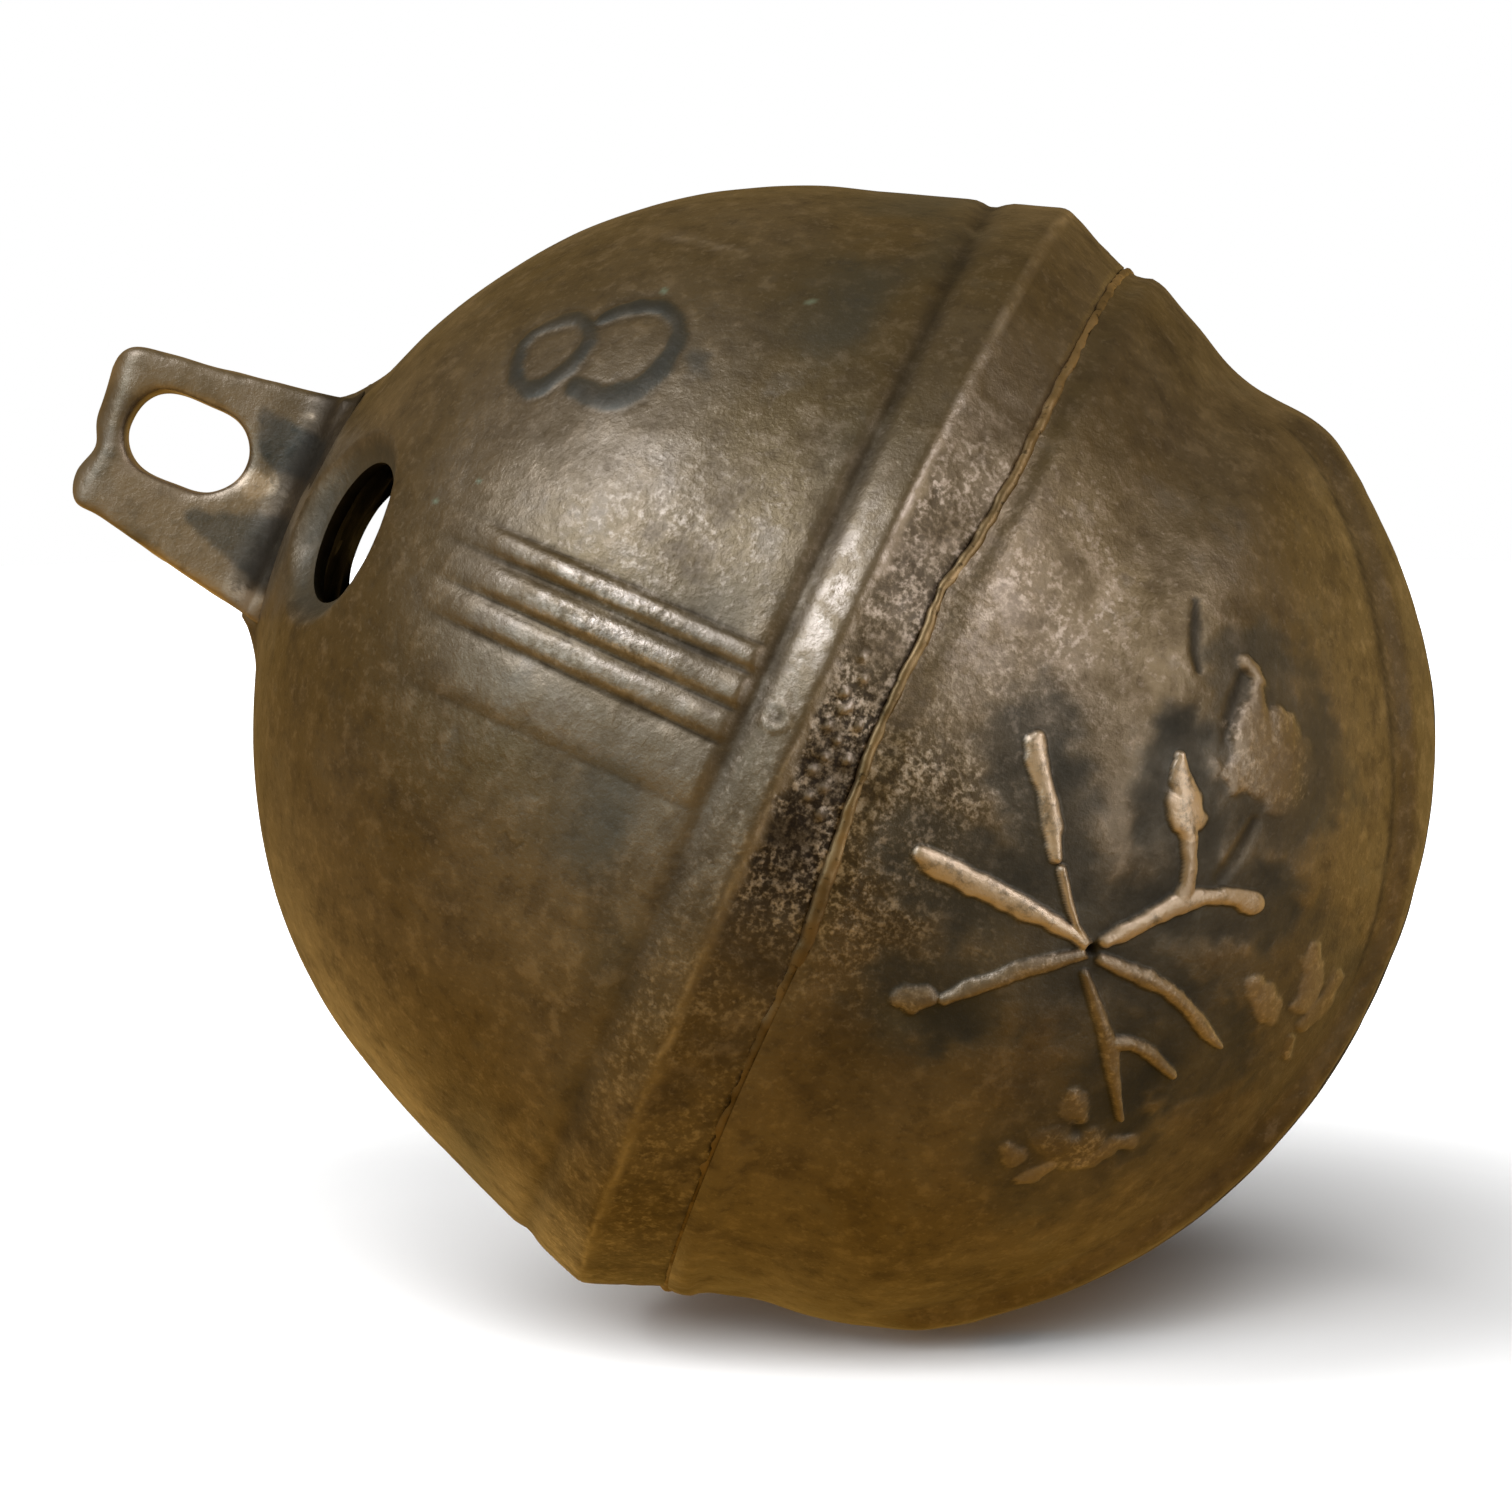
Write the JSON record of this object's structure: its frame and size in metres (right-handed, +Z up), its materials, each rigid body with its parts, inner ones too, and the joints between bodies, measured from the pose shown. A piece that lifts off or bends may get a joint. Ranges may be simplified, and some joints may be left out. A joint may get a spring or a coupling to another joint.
{
  "type": "rumbler bell",
  "caption": "Round cast bronze rumbler bell with a strap lug on the crown, a raised waist band, a lipped mouth slit and a loose iron ball inside.",
  "frame": {"origin": "middle of the strap slot in the lug that the bell hangs from", "axes": "+Z up along the bell's axis, from the mouth to the lug; Y runs straight through the strap slot and in line with the two sound holes; the mouth slit runs along X"},
  "size_m": [0.0736, 0.0736, 0.0879],
  "materials": {
    "cast_bronze": "sand-cast bronze with a dark brown patina, rubbed bright on the high spots",
    "braze": "rough brazed bead, paler than the casting",
    "iron": "dark rusted cast iron"
  },
  "bodies": {
    "shell": {"crown_half": "cast_bronze", "bowl_half": "cast_bronze", "seam_braze": "braze", "hanging_lug": "cast_bronze"},
    "rattle": {"rattle_ball": "iron"}
  },
  "joints": [
    {"name": "rattle_roll", "type": "hinge", "parent": "shell", "child": "rattle", "pos_m": [0, 0, -0.0454], "axis": [1, 0, 0], "continuous": true}
  ]
}
